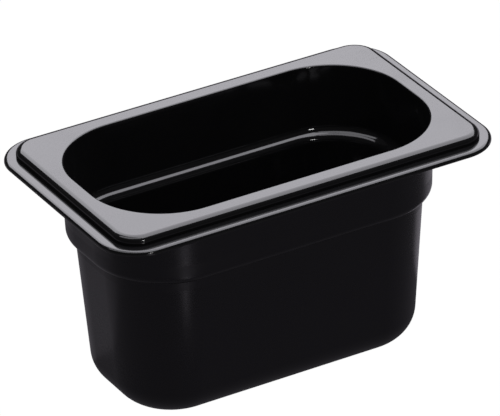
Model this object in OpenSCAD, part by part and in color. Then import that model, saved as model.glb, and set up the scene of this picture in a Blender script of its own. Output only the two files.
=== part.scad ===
// Ninth-size deli food pan, 100 mm deep class: one injection moulding in black polycarbonate,
// drawn as the nine named zones that make up its wall. The zones meet face to face.
// Origin: centre of the footprint, on the plane the pan stands on. +X runs along the length.

/* [Rim] */
// Length over the hanging flange
rim_l = 176; // [174:0.5:180]
// Width over the hanging flange
rim_w = 108; // [106:0.5:112]
// Plan radius of the flange corners
rim_r = 18; // [16:0.5:20]
// Width of the flat ledge outside the riser, along the straights
flange_w = 5.5; // [5:0.25:6]
// Thickness of the flange
flange_t = 2; // [2:0.1:2.6]
// Radius along the top outer edge of the flange
flange_edge_r = 1.5; // [0.8:0.1:1.5]
// Plan radius of the riser's corners, at its foot
riser_r = 10.5; // [7:0.5:12]
// Height of the lid land above the flange
land_rise = 3.7; // [3.4:0.1:5]
// Radius along the outer edge of the lid land
land_edge_r = 2.8; // [2.7:0.1:3.2]

/* [Opening] */
// Length of the mouth, measured at the land
mouth_l = 149; // [147:0.5:150]
// Width of the mouth, measured at the land
mouth_w = 80; // [79:0.5:82]
// Plan radius of the mouth corners
mouth_r = 32.5; // [31:0.5:34]
// Radius of the lip round the mouth
lip_r = 0.8; // [0.4:0.1:1.2]

/* [Bowl] */
// Height from the base to the lid land
pan_h = 99; // [96:0.5:104]
// Wall and floor thickness
wall_t = 2.5; // [2.2:0.1:2.6]
// Draft of the inner walls and of the lower outer wall, in degrees from upright
wall_draft = 4.2; // [3.5:0.1:5]
// Draft of the outer face of the collar, in degrees from upright
collar_draft = 1.75; // [1:0.25:2.5]
// Plan radius of the collar's outer face just above its rounded lower edge
collar_r = 33.05; // [32.9:0.05:33.3]
// Radius along the bottom edge, outside
base_r = 14; // [10:0.5:14]

/* [Stacking step] */
// Height of the centre of the collar's rounded lower edge
step_z = 69.6; // [60:0.1:72]
// Radius of the collar's lower edge, outside
step_edge_r = 3.5; // [3:0.1:3.8]
// Fillet between the collar's underside and the lower wall
step_fillet_r = 1.2; // [1:0.1:1.5]
// Inward set of the inner wall below the step
ledge_w = 3.2; // [2.8:0.1:3.2]
// Radius of each half of the S-shaped ledge inside
ledge_r = 4.4; // [3.8:0.1:4.4]
// Height of the ledge's upper curve centre above the outer step's
ledge_lift = 3.4; // [3:0.1:4]

/* [Base] */
// Depth of the shallow recess in the underside
recess_depth = 0.4; // [0.2:0.1:0.6]
// Width of the standing ring round the recess
foot_ring_w = 4; // [3:0.5:5]

/* [Hidden] */
$fn = 96;

shell_black = [0.055, 0.055, 0.06];
rim_black = [0.09, 0.09, 0.1];

// Corner centres. The flange's edge turns about the first set, the riser about the second, and
// every bowl profile about the third.
rim_corner = [rim_l / 2 - rim_r, rim_w / 2 - rim_r];
riser_corner = [rim_l / 2 - flange_w - riser_r, rim_w / 2 - flange_w - riser_r];
bowl_corner = [mouth_l / 2 - mouth_r, mouth_w / 2 - mouth_r];

// Rim levels and radii
land_z = pan_h;
land_under_z = pan_h - wall_t;
flange_top_z = pan_h - land_rise;
flange_under_z = flange_top_z - flange_t;
riser_in_r = riser_r - wall_t;
land_edge_in_r = riser_r - land_edge_r;
flange_lower_r = 0.4;

// Direction up the drafted wall, and its outward normal, as (radius, height)
wall_up = [sin(wall_draft), cos(wall_draft)];
wall_out = [cos(wall_draft), -sin(wall_draft)];
collar_out = [cos(collar_draft), -sin(collar_draft)];

// Radius of each wall face at height z
function collar_in(z) = mouth_r - (land_z - z) * tan(wall_draft);
function body_in(z) = collar_in(z) - ledge_w;
function body_out(z) = body_in(z) + wall_t / cos(wall_draft);
function collar_face(z) = collar_r + (z - step_z) * tan(collar_draft);

// Centre of the second circle of an S-curve: it touches the first circle and the drafted line
// through p, and lies below.
function below(c, r1, r2, p) =
    let (gap = (c - p) * wall_out)
    c + (r2 - gap) * wall_out - sqrt(pow(r1 + r2, 2) - pow(r2 - gap, 2)) * wall_up;

// Outer S-curve under the collar
step_c1 = [collar_r, step_z] - step_edge_r * collar_out;
step_c2 = below(step_c1, step_edge_r, step_fillet_r, [body_out(0), 0]);
step_mid = step_c1 + (step_c2 - step_c1) * step_edge_r / (step_edge_r + step_fillet_r);
step_top = step_c1 + step_edge_r * collar_out;
step_low = step_c2 - step_fillet_r * wall_out;

// Inner S-shaped ledge
ledge_z = step_z + ledge_lift;
ledge_c1 = [collar_in(ledge_z), ledge_z] - ledge_r * wall_out;
ledge_c2 = below(ledge_c1, ledge_r, ledge_r, [body_in(0), 0]);
ledge_mid = (ledge_c1 + ledge_c2) / 2;
ledge_top = ledge_c1 + ledge_r * wall_out;
ledge_low = ledge_c2 - ledge_r * wall_out;

// Levels where the shoulder hands over to the collar and to the lower wall
shoulder_top_z = ledge_z + 2;
shoulder_low_z = step_z - 8;

// Bottom curve: inner and outer arcs share one centre
base_c = [body_out(0) - base_r * (1 - sin(wall_draft)) / cos(wall_draft), base_r];
base_out_p = base_c + base_r * wall_out;
base_in_p = base_c + (base_r - wall_t) * wall_out;

// Mouth lip
lip_c = [collar_in(land_z - lip_r) + lip_r / cos(wall_draft), land_z - lip_r];
lip_in_p = lip_c - lip_r * wall_out;

// Sliver between the chord from p to q and the arc of radius r about c
module bow(c, r, p, q) {
    u = (p - c) / r;
    v = (q - c) / r;
    apex = c + (u + v) * r / (1 + u * v);
    intersection() {
        translate(c) circle(r);
        polygon([p, apex, q]);
    }
}

// Carries a wall profile, drawn as (radius, height), round four corners and along the straights
module swept_ring(corner) {
    for (turn = [0, 180]) {
        rotate(turn) {
            translate([corner[0], corner[1], 0]) rotate_extrude(angle = 90) children();
            translate([-corner[0], corner[1], 0]) rotate(90) rotate_extrude(angle = 90) children();
            translate([-corner[0], corner[1], 0]) rotate([90, 0, 90])
                linear_extrude(2 * corner[0]) children();
            translate([corner[0], corner[1], 0]) rotate([90, 0, 0])
                linear_extrude(2 * corner[1]) children();
        }
    }
}

// Rounded rectangle of corner radius r about a set of corner centres
module rounded_plan(corner, r) {
    square([2 * (corner[0] + r), 2 * corner[1]], center = true);
    square([2 * corner[0], 2 * (corner[1] + r)], center = true);
    for (x = [-corner[0], corner[0]], y = [-corner[1], corner[1]]) {
        translate([x, y]) circle(r);
    }
}

// Flat hanging ledge round the outside of the rim, wider at the corners
module rim_flange() {
    top_c = [rim_r - flange_edge_r, flange_top_z - flange_edge_r];
    low_c = [rim_r - flange_lower_r, flange_under_z + flange_lower_r];
    color(rim_black) {
        swept_ring(rim_corner) union() {
            polygon([
                [top_c[0], flange_under_z],
                [low_c[0], flange_under_z],
                [rim_r, low_c[1]],
                [rim_r, top_c[1]],
                [top_c[0], flange_top_z],
            ]);
            bow(top_c, flange_edge_r, [rim_r, top_c[1]], [top_c[0], flange_top_z]);
            bow(low_c, flange_lower_r, [rim_r, low_c[1]], [low_c[0], flange_under_z]);
        }
        translate([0, 0, flange_under_z]) linear_extrude(flange_t) difference() {
            rounded_plan(rim_corner, top_c[0]);
            rounded_plan(riser_corner, riser_r);
        }
    }
}

// Upright wall that lifts the lid land above the flange, with its rounded shoulder
module rim_riser() {
    c = [land_edge_in_r, land_z - land_edge_r];
    inner_r = land_edge_r - wall_t;
    color(rim_black) swept_ring(riser_corner) difference() {
        union() {
            polygon([
                [riser_in_r, flange_under_z],
                [riser_r, flange_under_z],
                [riser_r, c[1]],
                [c[0], land_z],
                [c[0], land_under_z],
                [riser_in_r, c[1]],
            ]);
            bow(c, land_edge_r, [riser_r, c[1]], [c[0], land_z]);
        }
        bow(c, inner_r, [riser_in_r, c[1]], [c[0], land_under_z]);
    }
}

// Flat plate that a lid seals on, wide at the corners
module lid_land() {
    color(rim_black) translate([0, 0, land_under_z]) linear_extrude(wall_t) difference() {
        rounded_plan(riser_corner, land_edge_in_r);
        rounded_plan(bowl_corner, collar_face(land_under_z));
    }
}

// Crisp rounded lip round the mouth
module opening_lip() {
    color(rim_black) swept_ring(bowl_corner) union() {
        polygon([
            [collar_in(land_under_z), land_under_z],
            [collar_face(land_under_z), land_under_z],
            [collar_face(land_under_z), land_z],
            [lip_c[0], land_z],
            lip_in_p,
        ]);
        bow(lip_c, lip_r, [lip_c[0], land_z], lip_in_p);
    }
}

// Upper band of the bowl, proud of the wall below it
module collar_wall() {
    color(shell_black) swept_ring(bowl_corner) polygon([
        [collar_in(shoulder_top_z), shoulder_top_z],
        [collar_face(shoulder_top_z), shoulder_top_z],
        [collar_face(land_under_z), land_under_z],
        [collar_in(land_under_z), land_under_z],
    ]);
}

// S-shaped step, inside and out, that stops nested pans from jamming
module stacking_shoulder() {
    color(shell_black) swept_ring(bowl_corner) difference() {
        union() {
            polygon([
                [collar_in(shoulder_top_z), shoulder_top_z],
                [collar_face(shoulder_top_z), shoulder_top_z],
                step_top,
                step_mid,
                step_low,
                [body_out(shoulder_low_z), shoulder_low_z],
                [body_in(shoulder_low_z), shoulder_low_z],
                ledge_low,
                ledge_mid,
                ledge_top,
            ]);
            bow(step_c1, step_edge_r, step_top, step_mid);
            bow(ledge_c2, ledge_r, ledge_mid, ledge_low);
        }
        bow(step_c2, step_fillet_r, step_mid, step_low);
        bow(ledge_c1, ledge_r, ledge_top, ledge_mid);
    }
}

// Long drafted wall of the bowl
module body_wall() {
    color(shell_black) swept_ring(bowl_corner) polygon([
        base_in_p,
        base_out_p,
        [body_out(shoulder_low_z), shoulder_low_z],
        [body_in(shoulder_low_z), shoulder_low_z],
    ]);
}

// Generous curve from the wall into the floor
module base_curve() {
    color(shell_black) swept_ring(bowl_corner) difference() {
        union() {
            polygon([
                [base_c[0], 0],
                base_out_p,
                base_in_p,
                [base_c[0], wall_t],
            ]);
            bow(base_c, base_r, [base_c[0], 0], base_out_p);
        }
        bow(base_c, base_r - wall_t, [base_c[0], wall_t], base_in_p);
    }
}

// Flat floor, standing on a ring round a shallow recess
module floor_panel() {
    color(shell_black) difference() {
        linear_extrude(wall_t) rounded_plan(bowl_corner, base_c[0]);
        translate([0, 0, -recess_depth])
            linear_extrude(2 * recess_depth) rounded_plan(bowl_corner, base_c[0] - foot_ring_w);
    }
}

rim_flange();
rim_riser();
lid_land();
opening_lip();
collar_wall();
stacking_shoulder();
body_wall();
base_curve();
floor_panel();
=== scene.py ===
"""A ninth-size deli food pan in black polycarbonate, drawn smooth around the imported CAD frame.

Each zone of the moulding is a ring: a wall section, drawn in (radius, height), carried round the plan.
The flange's edge, the riser and the bowl each turn about their own set of four corner centres.
Lengths are in metres and angles in radians.
"""

import math

import bpy
import numpy as np
from mathutils import Matrix, Vector


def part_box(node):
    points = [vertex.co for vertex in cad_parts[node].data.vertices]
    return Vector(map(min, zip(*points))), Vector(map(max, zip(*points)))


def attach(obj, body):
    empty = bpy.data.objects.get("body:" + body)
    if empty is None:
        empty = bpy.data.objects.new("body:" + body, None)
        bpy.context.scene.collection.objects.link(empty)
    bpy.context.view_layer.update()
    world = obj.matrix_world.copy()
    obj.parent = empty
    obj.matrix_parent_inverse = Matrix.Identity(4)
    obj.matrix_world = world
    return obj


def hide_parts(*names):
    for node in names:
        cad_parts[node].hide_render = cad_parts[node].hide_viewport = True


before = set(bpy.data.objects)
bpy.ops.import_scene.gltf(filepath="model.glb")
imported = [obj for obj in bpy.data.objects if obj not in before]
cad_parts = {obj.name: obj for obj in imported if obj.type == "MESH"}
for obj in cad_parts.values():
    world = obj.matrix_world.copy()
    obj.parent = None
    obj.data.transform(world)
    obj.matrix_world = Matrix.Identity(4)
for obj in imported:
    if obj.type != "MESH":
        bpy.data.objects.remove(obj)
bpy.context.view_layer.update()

MM = 0.001

# ---------------------------------------------------------------- sizes of the moulding

RIM_R = 18 * MM  # plan radius of the flange's corners
FLANGE_W = 5.5 * MM  # flat ledge outside the riser, along the straights
RISER_R = 10.5 * MM  # plan radius of the riser's corners
WALL_T = 2.5 * MM
FLANGE_EDGE_R = 1.5 * MM
FLANGE_LOWER_R = 0.4 * MM
LAND_EDGE_R = 2.8 * MM
LIP_R = 0.8 * MM
MOUTH_R = 32.5 * MM  # plan radius of the mouth's corners, at the land
WALL_DRAFT = math.radians(4.2)
COLLAR_DRAFT = math.radians(1.75)
COLLAR_R = 33.05 * MM  # plan radius of the collar's outer face at the step
STEP_EDGE_R = 3.5 * MM
STEP_FILLET_R = 1.2 * MM
LEDGE_W = 3.2 * MM
LEDGE_R = 4.4 * MM
BASE_R = 14 * MM
FOOT_RING_W = 4 * MM
RECESS_DEPTH = 0.4 * MM
RECESS_EDGE_R = 0.15 * MM
SHOULDER_ABOVE_LEDGE = 2 * MM  # straight wall kept in the shoulder over the start of its ledge
SHOULDER_BELOW_STEP = 8 * MM  # and under the start of its step

# Levels and half sizes that the frame gives
flange_lo, flange_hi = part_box("rim_flange")
land_lo, land_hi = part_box("lid_land")
lip_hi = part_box("opening_lip")[1]
shoulder_lo, shoulder_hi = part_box("stacking_shoulder")
LAND_Z = land_hi.z
LAND_UNDER_Z = land_lo.z
FLANGE_UNDER_Z = flange_lo.z
FLANGE_TOP_Z = flange_hi.z
SHOULDER_TOP_Z = shoulder_hi.z
SHOULDER_LOW_Z = shoulder_lo.z
LEDGE_Z = SHOULDER_TOP_Z - SHOULDER_ABOVE_LEDGE
STEP_Z = SHOULDER_LOW_Z + SHOULDER_BELOW_STEP

RISER_IN_R = RISER_R - WALL_T
LAND_EDGE_IN_R = RISER_R - LAND_EDGE_R

WALL_UP = np.array([math.sin(WALL_DRAFT), math.cos(WALL_DRAFT)])
WALL_OUT = np.array([math.cos(WALL_DRAFT), -math.sin(WALL_DRAFT)])
COLLAR_OUT = np.array([math.cos(COLLAR_DRAFT), -math.sin(COLLAR_DRAFT)])


def collar_in(z):
    return MOUTH_R - (LAND_Z - z) * math.tan(WALL_DRAFT)


def body_in(z):
    return collar_in(z) - LEDGE_W


def body_out(z):
    return body_in(z) + WALL_T / math.cos(WALL_DRAFT)


def collar_face(z):
    return COLLAR_R + (z - STEP_Z) * math.tan(COLLAR_DRAFT)


def circle_below(c, r1, r2, p):
    """Centre of the S-curve's second circle: it touches the first, and the drafted line through p."""
    gap = (c - p) @ WALL_OUT
    rise = math.sqrt((r1 + r2) ** 2 - (r2 - gap) ** 2)
    return c + (r2 - gap) * WALL_OUT - rise * WALL_UP


RIM_CORNER = (flange_hi.x - RIM_R, flange_hi.y - RIM_R)
RISER_CORNER = (flange_hi.x - FLANGE_W - RISER_R, flange_hi.y - FLANGE_W - RISER_R)
BOWL_CORNER = (lip_hi.x - collar_face(LAND_UNDER_Z), lip_hi.y - collar_face(LAND_UNDER_Z))

# ---------------------------------------------------------------- wall sections

OUTSIDE, INSIDE = 0, 1  # material slots
ARC_STEP = math.radians(5)
LINE_ENDS = (0.6 * MM, 1.6 * MM, 3.5 * MM)  # extra points near each end of a long line
BRIDGE_STOPS = (0, 0.1, 0.25, 0.5, 0.75, 0.9, 1)


def line(p, q, finish=OUTSIDE):
    """A straight run of the section from p to q, with the material on its left."""
    p, q = np.array(p, float), np.array(q, float)
    length = np.linalg.norm(q - p)
    near = [d / length for d in LINE_ENDS if d < length / 2]
    stops = np.array([0, *near, *[1 - t for t in reversed(near)], 1])[:, None]
    along = (q - p) / length
    normals = np.tile([along[1], -along[0]], (len(stops), 1))
    return {"points": p + stops * (q - p), "normals": normals, "finish": finish, "edge": False}


def arc(c, p, q, finish=OUTSIDE):
    """The shorter arc about c from p to q: counterclockwise rounds an edge, clockwise fills a corner."""
    c, p, q = np.array(c, float), np.array(p, float), np.array(q, float)
    start = math.atan2(*(p - c)[::-1])
    turn = math.atan2(*(q - c)[::-1]) - start
    turn = (turn + math.pi) % math.tau - math.pi
    steps = max(3, math.ceil(abs(turn) / ARC_STEP))
    angles = start + turn * np.linspace(0, 1, steps + 1)
    radial = np.stack([np.cos(angles), np.sin(angles)], axis=1)
    points = c + np.linalg.norm(p - c) * radial
    return {"points": points, "normals": radial * math.copysign(1, turn), "finish": finish, "edge": turn > 0}


def ring(corner, radius):
    """Outline at one radius about a set of corner centres, one point for each plan station."""
    centres, ways = plan_stations(corner)
    return centres + radius * ways


def about(corner, run):
    """The same run, turning about its own corner centres instead of its section's."""
    run["plans"] = [ring(corner, radius) for radius, _ in run["points"]]
    return run


def bridge(start, end, z):
    """A level run between two outlines that turn about different corner centres."""
    plans = [start + t * (end - start) for t in BRIDGE_STOPS]
    points = np.array([(plan[0][0], z) for plan in plans])
    up = 1 if end[0][0] < start[0][0] else -1
    normals = np.tile([0, up], (len(plans), 1))
    return {"points": points, "plans": plans, "normals": normals, "finish": OUTSIDE, "edge": False}


def wall_between(low_in, low_out, top_out, top_in):
    """A straight band of wall, polished on its inner face."""
    return [
        line(low_in, low_out),
        line(low_out, top_out),
        line(top_out, top_in),
        line(top_in, low_in, INSIDE),
    ]


def flange_section():
    top_c = (RIM_R - FLANGE_EDGE_R, FLANGE_TOP_Z - FLANGE_EDGE_R)
    low_c = (RIM_R - FLANGE_LOWER_R, FLANGE_UNDER_Z + FLANGE_LOWER_R)
    edge = ring(RIM_CORNER, top_c[0])
    foot = ring(RISER_CORNER, RISER_R)
    return [
        bridge(foot, edge, FLANGE_UNDER_Z),
        line((top_c[0], FLANGE_UNDER_Z), (low_c[0], FLANGE_UNDER_Z)),
        arc(low_c, (low_c[0], FLANGE_UNDER_Z), (RIM_R, low_c[1])),
        line((RIM_R, low_c[1]), (RIM_R, top_c[1])),
        arc(top_c, (RIM_R, top_c[1]), (top_c[0], FLANGE_TOP_Z)),
        bridge(edge, foot, FLANGE_TOP_Z),
        about(RISER_CORNER, line((RISER_R, FLANGE_TOP_Z), (RISER_R, FLANGE_UNDER_Z))),
    ]


def riser_section():
    c = (LAND_EDGE_IN_R, LAND_Z - LAND_EDGE_R)
    return [
        line((RISER_IN_R, FLANGE_UNDER_Z), (RISER_R, FLANGE_UNDER_Z)),
        line((RISER_R, FLANGE_UNDER_Z), (RISER_R, c[1])),
        arc(c, (RISER_R, c[1]), (c[0], LAND_Z)),
        line((c[0], LAND_Z), (c[0], LAND_UNDER_Z)),
        arc(c, (c[0], LAND_UNDER_Z), (RISER_IN_R, c[1])),
        line((RISER_IN_R, c[1]), (RISER_IN_R, FLANGE_UNDER_Z)),
    ]


def land_section():
    """The flat land: its outer outline turns about the riser's corners, its inner one about the bowl's."""
    outer_r = LAND_EDGE_IN_R
    inner_r = collar_face(LAND_UNDER_Z)
    outer = ring(RISER_CORNER, outer_r)
    inner = ring(BOWL_CORNER, inner_r)
    return [
        bridge(inner, outer, LAND_UNDER_Z),
        about(RISER_CORNER, line((outer_r, LAND_UNDER_Z), (outer_r, LAND_Z))),
        bridge(outer, inner, LAND_Z),
        about(BOWL_CORNER, line((inner_r, LAND_Z), (inner_r, LAND_UNDER_Z))),
    ]


def lip_section():
    c = np.array([collar_in(LAND_Z - LIP_R) + LIP_R / math.cos(WALL_DRAFT), LAND_Z - LIP_R])
    inner = c - LIP_R * WALL_OUT
    low_in = (collar_in(LAND_UNDER_Z), LAND_UNDER_Z)
    outer = collar_face(LAND_UNDER_Z)
    return [
        line(low_in, (outer, LAND_UNDER_Z)),
        line((outer, LAND_UNDER_Z), (outer, LAND_Z)),
        line((outer, LAND_Z), (c[0], LAND_Z)),
        arc(c, (c[0], LAND_Z), inner),
        line(inner, low_in),
    ]


def collar_section():
    low_in = (collar_in(SHOULDER_TOP_Z), SHOULDER_TOP_Z)
    low_out = (collar_face(SHOULDER_TOP_Z), SHOULDER_TOP_Z)
    top_out = (collar_face(LAND_UNDER_Z), LAND_UNDER_Z)
    top_in = (collar_in(LAND_UNDER_Z), LAND_UNDER_Z)
    return wall_between(low_in, low_out, top_out, top_in)


def shoulder_section():
    step_c1 = np.array([COLLAR_R, STEP_Z]) - STEP_EDGE_R * COLLAR_OUT
    step_c2 = circle_below(step_c1, STEP_EDGE_R, STEP_FILLET_R, np.array([body_out(0), 0]))
    step_mid = step_c1 + (step_c2 - step_c1) * STEP_EDGE_R / (STEP_EDGE_R + STEP_FILLET_R)
    step_top = step_c1 + STEP_EDGE_R * COLLAR_OUT
    step_low = step_c2 - STEP_FILLET_R * WALL_OUT
    ledge_c1 = np.array([collar_in(LEDGE_Z), LEDGE_Z]) - LEDGE_R * WALL_OUT
    ledge_c2 = circle_below(ledge_c1, LEDGE_R, LEDGE_R, np.array([body_in(0), 0]))
    ledge_mid = (ledge_c1 + ledge_c2) / 2
    ledge_top = ledge_c1 + LEDGE_R * WALL_OUT
    ledge_low = ledge_c2 - LEDGE_R * WALL_OUT
    low_in = (body_in(SHOULDER_LOW_Z), SHOULDER_LOW_Z)
    low_out = (body_out(SHOULDER_LOW_Z), SHOULDER_LOW_Z)
    top_out = (collar_face(SHOULDER_TOP_Z), SHOULDER_TOP_Z)
    top_in = (collar_in(SHOULDER_TOP_Z), SHOULDER_TOP_Z)
    return [
        line(low_in, low_out),
        line(low_out, step_low),
        arc(step_c2, step_low, step_mid),
        arc(step_c1, step_mid, step_top),
        line(step_top, top_out),
        line(top_out, top_in),
        line(top_in, ledge_top, INSIDE),
        arc(ledge_c1, ledge_top, ledge_mid, INSIDE),
        arc(ledge_c2, ledge_mid, ledge_low, INSIDE),
        line(ledge_low, low_in, INSIDE),
    ]


def base_centre():
    return np.array([body_out(0) - BASE_R * (1 - math.sin(WALL_DRAFT)) / math.cos(WALL_DRAFT), BASE_R])


def body_section():
    low_out = base_centre() + BASE_R * WALL_OUT
    low_in = base_centre() + (BASE_R - WALL_T) * WALL_OUT
    top_out = (body_out(SHOULDER_LOW_Z), SHOULDER_LOW_Z)
    top_in = (body_in(SHOULDER_LOW_Z), SHOULDER_LOW_Z)
    return wall_between(low_in, low_out, top_out, top_in)


def base_section():
    c = base_centre()
    wall_out = c + BASE_R * WALL_OUT
    wall_in = c + (BASE_R - WALL_T) * WALL_OUT
    return [
        arc(c, (c[0], 0), wall_out),
        line(wall_out, wall_in),
        arc(c, wall_in, (c[0], WALL_T), INSIDE),
        line((c[0], WALL_T), (c[0], 0)),
    ]


def floor_section():
    """An open section from the edge of the recess's face, out under the ring and up to the floor."""
    outer = base_centre()[0]
    inner = outer - FOOT_RING_W
    r = RECESS_EDGE_R
    return [
        arc((inner - r, RECESS_DEPTH - r), (inner - r, RECESS_DEPTH), (inner, RECESS_DEPTH - r)),
        line((inner, RECESS_DEPTH - r), (inner, r)),
        arc((inner + r, r), (inner, r), (inner + r, 0)),
        line((inner + r, 0), (outer, 0)),
        line((outer, 0), (outer, WALL_T)),
    ]


# ---------------------------------------------------------------- meshes

CORNER_STEPS = 30
LONG_STEPS, SHORT_STEPS = 28, 12
WEAR_REACH = 1.1 * MM  # how far rubbing spreads from a rounded edge


def plan_stations(corner):
    """Corner centre and outward direction of every upright slice, counterclockwise from +X."""
    signs = [(1, 1), (-1, 1), (-1, -1), (1, -1)]
    centres, ways = [], []
    for i, sign in enumerate(signs):
        centre = np.array(sign) * corner
        following = np.array(signs[(i + 1) % 4]) * corner
        for k in range(CORNER_STEPS + 1):
            angle = math.pi / 2 * (i + k / CORNER_STEPS)
            centres.append(centre)
            ways.append((math.cos(angle), math.sin(angle)))
        straight_steps = LONG_STEPS if i % 2 == 0 else SHORT_STEPS
        for k in range(1, straight_steps):
            centres.append(centre + (following - centre) * k / straight_steps)
            ways.append(ways[-1])
    return np.array(centres), np.array(ways)


def wear_along(runs):
    """For each run, how much each of its points is rubbed: 1 on a rounded edge, less beside it.

    A section with no rounded edge of its own counts as rubbed all over. So the land, the collar and
    the body wall have 1 everywhere, and the materials' roughness is set to look right with that.
    """
    places = []
    total = 0
    for run in runs:
        steps = np.linalg.norm(np.diff(run["points"], axis=0), axis=1)
        places.append(total + np.concatenate([[0], np.cumsum(steps)]))
        total = places[-1][-1]
    edges = [place for place, run in zip(places, runs) if run["edge"]]
    if not edges:
        return [np.ones(len(place)) for place in places]
    edges = np.concatenate(edges)
    wear = []
    for place in places:
        gap = np.abs(place[:, None] - edges[None, :])
        gap = np.minimum(gap, total - gap).min(axis=1)
        wear.append(np.exp(-gap / WEAR_REACH))
    return wear


def build(name, verts, faces, face_normals, finishes, wear, materials):
    """A mesh object with exact corner normals, one material per finish and a wear attribute."""
    mesh = bpy.data.meshes.new(name)
    mesh.from_pydata(verts, [], faces)
    for material in materials:
        mesh.materials.append(material)
    mesh.polygons.foreach_set("material_index", np.array(finishes, np.int32))
    mesh.polygons.foreach_set("use_smooth", np.ones(len(faces), bool))
    attribute = mesh.attributes.new("wear", "FLOAT", "POINT")
    attribute.data.foreach_set("value", np.array(wear, np.float32))
    mesh.normals_split_custom_set([tuple(n) for corners in face_normals for n in corners])
    mesh.update()
    piece = bpy.data.objects.new(name, mesh)
    bpy.context.scene.collection.objects.link(piece)
    return piece


def sweep(name, runs, corner, materials, capped=False):
    """Carries a section round the plan. A closed section gives a ring, a capped one a plate."""
    centres, ways = plan_stations(corner)
    count = len(centres)
    for run in runs:
        run.setdefault("plans", [centres + radius * ways for radius, _ in run["points"]])
    wear_runs = wear_along(runs)
    verts, wear, ring_of = [], [], {}
    for run, run_wear in zip(runs, wear_runs):
        run["rings"] = []
        for plan, (_, z), rubbed in zip(run["plans"], run["points"], run_wear):
            key = tuple(np.round([*plan[0], z], 7))
            if key not in ring_of:
                ring_of[key] = len(verts)
                verts += [(x, y, z) for x, y in plan]
                wear += [rubbed] * count
            run["rings"].append(ring_of[key])
    faces, normals, finishes = [], [], []
    for run in runs:
        for i in range(len(run["rings"]) - 1):
            low, high = run["rings"][i], run["rings"][i + 1]
            for s in range(count):
                t = (s + 1) % count
                faces.append((low + s, low + t, high + t, high + s))
                corners = []
                for station, end in ((s, i), (t, i), (t, i + 1), (s, i + 1)):
                    out, up = run["normals"][end]
                    corners.append((ways[station][0] * out, ways[station][1] * out, up))
                normals.append(corners)
                finishes.append(run["finish"])
    if capped:
        first, last = runs[0]["rings"][0], runs[-1]["rings"][-1]
        faces += [tuple(first + s for s in reversed(range(count))), tuple(last + s for s in range(count))]
        normals += [[(0, 0, -1)] * count, [(0, 0, 1)] * count]
        finishes += [OUTSIDE, INSIDE]
    return build(name, verts, faces, normals, finishes, wear, materials)


# ---------------------------------------------------------------- materials

POLYCARBONATE_IOR = 1.585


class Shader:
    """A node material built step by step round one Principled shader."""

    def __init__(self, name):
        self.material = bpy.data.materials.new(name)
        self.material.use_nodes = True
        self.tree = self.material.node_tree
        self.tree.nodes.clear()
        self.surface = self.add("ShaderNodeBsdfPrincipled")
        output = self.add("ShaderNodeOutputMaterial")
        self.link(self.surface.outputs["BSDF"], output.inputs["Surface"])
        self.place = self.add("ShaderNodeTexCoord").outputs["Object"]

    def add(self, kind, **settings):
        node = self.tree.nodes.new(kind)
        for key, value in settings.items():
            setattr(node, key, value)
        return node

    def link(self, source, target):
        self.tree.links.new(source, target)

    def feed(self, socket, value):
        if hasattr(value, "is_output"):
            self.link(value, socket)
        else:
            socket.default_value = value

    def noise(self, scale, detail=2.0, roughness=0.5, stretch=(1, 1, 1), turn=(0, 0, 0)):
        place = self.add("ShaderNodeMapping")
        place.inputs["Scale"].default_value = stretch
        place.inputs["Rotation"].default_value = turn
        self.link(self.place, place.inputs["Vector"])
        node = self.add("ShaderNodeTexNoise")
        self.link(place.outputs["Vector"], node.inputs["Vector"])
        node.inputs["Scale"].default_value = scale
        node.inputs["Detail"].default_value = detail
        node.inputs["Roughness"].default_value = roughness
        return node.outputs["Fac"]

    def spread(self, value, low, high, to_low, to_high):
        """Maps value from low..high to to_low..to_high, clamped."""
        node = self.add("ShaderNodeMapRange", clamp=True)
        for socket, given in zip(node.inputs, (value, low, high, to_low, to_high)):
            self.feed(socket, given)
        return node.outputs["Result"]

    def math(self, operation, a, b):
        node = self.add("ShaderNodeMath", operation=operation)
        self.feed(node.inputs[0], a)
        self.feed(node.inputs[1], b)
        return node.outputs["Value"]

    def colours(self, factor, low, high):
        node = self.add("ShaderNodeMix", data_type="RGBA")
        self.feed(node.inputs["Factor"], factor)
        node.inputs[6].default_value = (*low, 1)
        node.inputs[7].default_value = (*high, 1)
        return node.outputs[2]

    def wear(self):
        return self.add("ShaderNodeAttribute", attribute_name="wear").outputs["Fac"]

    def bump(self, height, distance, under=None):
        node = self.add("ShaderNodeBump")
        node.inputs["Distance"].default_value = distance
        self.link(height, node.inputs["Height"])
        if under is not None:
            self.link(under, node.inputs["Normal"])
        return node.outputs["Normal"]


def polished_black(name, roughness):
    """Moulded against a polished steel face: a near mirror with faint flow ripple and handling marks."""
    shader = Shader(name)
    surface = shader.surface
    surface.inputs["IOR"].default_value = POLYCARBONATE_IOR
    pigment = shader.noise(60, detail=4)
    black = shader.colours(pigment, (0.005, 0.005, 0.0052), (0.0075, 0.0075, 0.0078))
    shader.link(black, surface.inputs["Base Color"])
    smudges = shader.spread(shader.noise(38, detail=6, roughness=0.6), 0.42, 0.72, 0, 0.045)
    scratches = shader.noise(900, detail=2, stretch=(0.04, 1, 1), turn=(0, 0, 0.5))
    hairlines = shader.spread(scratches, 0.66, 0.8, 0, 0.05)
    rubbed = shader.math("MULTIPLY", shader.wear(), 0.03)
    rough = shader.math("ADD", smudges, roughness)
    rough = shader.math("ADD", rough, hairlines)
    shader.link(shader.math("ADD", rough, rubbed), surface.inputs["Roughness"])
    ripple = shader.bump(shader.noise(26, detail=1), 0.02 * MM)
    shader.link(shader.bump(scratches, 0.0006 * MM, under=ripple), surface.inputs["Normal"])
    return shader.material


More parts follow.
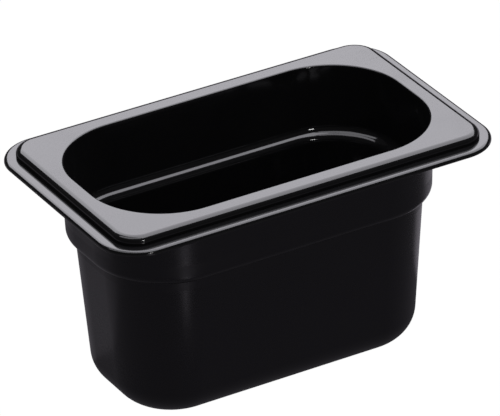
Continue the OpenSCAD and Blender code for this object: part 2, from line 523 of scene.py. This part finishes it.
def satin_black(name):
    """Moulded against a spark-eroded face: an even fine grain that spreads the light."""
    shader = Shader(name)
    surface = shader.surface
    surface.inputs["IOR"].default_value = POLYCARBONATE_IOR
    pigment = shader.noise(45, detail=5)
    black = shader.colours(pigment, (0.0048, 0.0042, 0.0066), (0.0064, 0.0056, 0.0086))
    shader.link(black, surface.inputs["Base Color"])
    cloud = shader.spread(shader.noise(22, detail=5, roughness=0.6), 0.35, 0.7, 0.34, 0.42)
    grain = shader.noise(1500, detail=3, roughness=0.65)
    fine = shader.spread(grain, 0.3, 0.7, -0.04, 0.04)
    rubbed = shader.math("MULTIPLY", shader.wear(), -0.08)
    rough = shader.math("ADD", cloud, fine)
    shader.link(shader.math("ADD", rough, rubbed), surface.inputs["Roughness"])
    ripple = shader.bump(shader.noise(18, detail=1), 0.03 * MM)
    shader.link(shader.bump(grain, 0.006 * MM, under=ripple), surface.inputs["Normal"])
    return shader.material


rim_gloss = polished_black("rim_gloss", 0.05)
bowl_gloss = polished_black("bowl_gloss", 0.045)
shell_satin = satin_black("shell_satin")

# ---------------------------------------------------------------- the pan's nine zones

zones = [
    ("rim_flange", flange_section(), RIM_CORNER, "rim_gloss", (rim_gloss, rim_gloss)),
    ("rim_riser", riser_section(), RISER_CORNER, "rim_gloss", (rim_gloss, rim_gloss)),
    ("lid_land", land_section(), BOWL_CORNER, "rim_gloss", (rim_gloss, rim_gloss)),
    ("opening_lip", lip_section(), BOWL_CORNER, "rim_gloss", (rim_gloss, rim_gloss)),
    ("collar_wall", collar_section(), BOWL_CORNER, "shell_satin", (shell_satin, bowl_gloss)),
    ("stacking_shoulder", shoulder_section(), BOWL_CORNER, "shell_satin", (shell_satin, bowl_gloss)),
    ("body_wall", body_section(), BOWL_CORNER, "shell_satin", (shell_satin, bowl_gloss)),
    ("base_curve", base_section(), BOWL_CORNER, "shell_satin", (shell_satin, bowl_gloss)),
    ("floor_panel", floor_section(), BOWL_CORNER, "shell_satin", (shell_satin, bowl_gloss)),
]


def settle(piece, node):
    """The finished piece rides on the pan and stands for its CAD node."""
    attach(piece, "root")
    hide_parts(node)


for node, section, corner, slot, materials in zones:
    capped = node == "floor_panel"
    settle(sweep("pan_" + node, section, corner, materials, capped), node)

# ---------------------------------------------------------------- studio

HUNG_COLOUR = (1, 0.985, 1.055)
BOUNCE_COLOUR = (1, 0.94, 1.06)
FLOOR_HALF_SIZE = 8
FLOOR_DROP = 0.05 * MM  # keeps the floor just clear of the pan and under the glowing patches
SENSOR_MM = 36
LENS_MM = 410.49


def emission(name, colour, strength):
    material = bpy.data.materials.new(name)
    material.use_nodes = True
    tree = material.node_tree
    tree.nodes.clear()
    glow = tree.nodes.new("ShaderNodeEmission")
    glow.inputs["Color"].default_value = (*colour, 1)
    glow.inputs["Strength"].default_value = strength
    output = tree.nodes.new("ShaderNodeOutputMaterial")
    tree.links.new(glow.outputs["Emission"], output.inputs["Surface"])
    return material


def stage_plane(name, corners, material):
    mesh = bpy.data.meshes.new(name)
    mesh.from_pydata(corners, [], [tuple(range(len(corners)))])
    mesh.materials.append(material)
    plane = bpy.data.objects.new(name, mesh)
    bpy.context.scene.collection.objects.link(plane)
    return plane


def glowing_card(name, corners, colour, strength):
    """A flat card that gives light and shows in the pan, but that the camera doesn't see."""
    card = stage_plane(name, corners, emission(name, colour, strength))
    card.visible_camera = False


def hung_card(name, height, outline, strength):
    """A level card over the pan, with its outline given in units of its height."""
    corners = [(x * height, y * height, height) for x, y in outline]
    glowing_card(name, corners, HUNG_COLOUR, strength)


def overhead_softbox():
    """The main light: a four-sided card over and behind the pan."""
    outline = [(0.07, -0.56), (1.65, -0.2), (1.05, 1.9), (-0.58, 1.56)]
    hung_card("overhead", 1.8, outline, 3.4)


def side_strip():
    """A weaker card on the left of the softbox, cut to light the far end of the inner ledge."""
    outline = [(-0.05, -0.62), (0.05, -0.33), (-0.26, 0.08), (-0.55, 0.5), (-1, 0.55), (-0.64, -0.23)]
    hung_card("side_strip", 1.7, outline, 2.0)


def front_lamp():
    """A small bright lamp in front, that leaves pinpoint glints on the rounded edges."""
    middle_x, front_y, middle_z = -0.04, -1.8, 0.82
    half_wide, half_high = 0.12, 0.07
    signs = ((-1, -1), (1, -1), (1, 1), (-1, 1))
    corners = [(middle_x + h * half_wide, front_y, middle_z + v * half_high) for h, v in signs]
    glowing_card("front_lamp", corners, (1, 1, 1), 30)


def floor_bounce(name, outline, strength, depth=0.02 * MM):
    """A glowing patch that lies on the floor and lights the pan's walls from below."""
    corners = [(x, y, -depth) for x, y in outline]
    glowing_card(name, corners, BOUNCE_COLOUR, strength)


def studio_floor():
    """A pale floor for the camera. The pan doesn't reflect it and isn't lit by it."""
    size = FLOOR_HALF_SIZE
    corners = [(-size, -size, 0), (size, -size, 0), (size, size, 0), (-size, size, 0)]
    material = bpy.data.materials.new("pale_floor")
    material.use_nodes = True
    tree = material.node_tree
    tree.nodes.clear()
    glow = tree.nodes.new("ShaderNodeEmission")
    glow.inputs["Strength"].default_value = 1.0
    paint = tree.nodes.new("ShaderNodeBsdfDiffuse")
    paint.inputs["Color"].default_value = (0.08, 0.08, 0.08, 1)
    both = tree.nodes.new("ShaderNodeAddShader")
    output = tree.nodes.new("ShaderNodeOutputMaterial")
    tree.links.new(glow.outputs["Emission"], both.inputs[0])
    tree.links.new(paint.outputs["BSDF"], both.inputs[1])
    tree.links.new(both.outputs["Shader"], output.inputs["Surface"])
    floor = stage_plane("studio_floor", corners, material)
    floor.location.z = -FLOOR_DROP
    floor.visible_glossy = False
    floor.visible_diffuse = False


def studio_world():
    """White behind the pan for the camera, and a dim room for everything the light meets."""
    world = bpy.data.worlds.new("studio")
    world.use_nodes = True
    tree = world.node_tree
    tree.nodes.clear()
    path = tree.nodes.new("ShaderNodeLightPath")
    white = tree.nodes.new("ShaderNodeBackground")
    white.inputs["Strength"].default_value = 1.1
    dim = tree.nodes.new("ShaderNodeBackground")
    dim.inputs["Strength"].default_value = 0.035
    mix = tree.nodes.new("ShaderNodeMixShader")
    output = tree.nodes.new("ShaderNodeOutputWorld")
    tree.links.new(path.outputs["Is Camera Ray"], mix.inputs["Fac"])
    tree.links.new(dim.outputs["Background"], mix.inputs[1])
    tree.links.new(white.outputs["Background"], mix.inputs[2])
    tree.links.new(mix.outputs["Shader"], output.inputs["Surface"])
    bpy.context.scene.world = world


def studio_camera():
    """A long lens, a little above the pan and off its left front corner."""
    azimuth, elevation, roll = math.radians(-29.332), math.radians(28.926), math.radians(-1.865)
    distance = 2.30678
    target = Vector((15.106, 26.804, 50)) * MM
    level = Vector((math.sin(azimuth), -math.cos(azimuth), 0))
    back = math.cos(elevation) * level + math.sin(elevation) * Vector((0, 0, 1))
    right = Vector((math.cos(azimuth), math.sin(azimuth), 0))
    up = back.cross(right)
    rolled_right = math.cos(roll) * right + math.sin(roll) * up
    rolled_up = math.cos(roll) * up - math.sin(roll) * right
    data = bpy.data.cameras.new("camera")
    data.sensor_width = SENSOR_MM
    data.lens = LENS_MM
    camera = bpy.data.objects.new("camera", data)
    place = Matrix((rolled_right, rolled_up, back)).transposed().to_4x4()
    place.translation = target + back * distance
    camera.matrix_world = place
    bpy.context.scene.collection.objects.link(camera)
    bpy.context.scene.camera = camera


overhead_softbox()
side_strip()
front_lamp()
floor_bounce("bounce_room", [(-3, -3), (3, -3), (3, 3), (-3, 3)], 0.09, 0.035 * MM)
floor_bounce("bounce_back", [(0.06, 0.03), (0.12, -0.01), (1.6, -0.01), (1.6, 1.8), (0.06, 1.8)], 0.4)
floor_bounce("bounce_left", [(-1.2, 0.03), (-0.07, 0.03), (0.059, 0.1), (0.059, 1.8), (-1.2, 1.8)], 0.17)
floor_bounce("bounce_front", [(-0.055, -0.1), (-0.19, -0.6), (-0.09, -0.6), (-0.045, -0.1)], 0.7)
studio_floor()
studio_world()
studio_camera()
bpy.context.scene.view_settings.view_transform = "Standard"
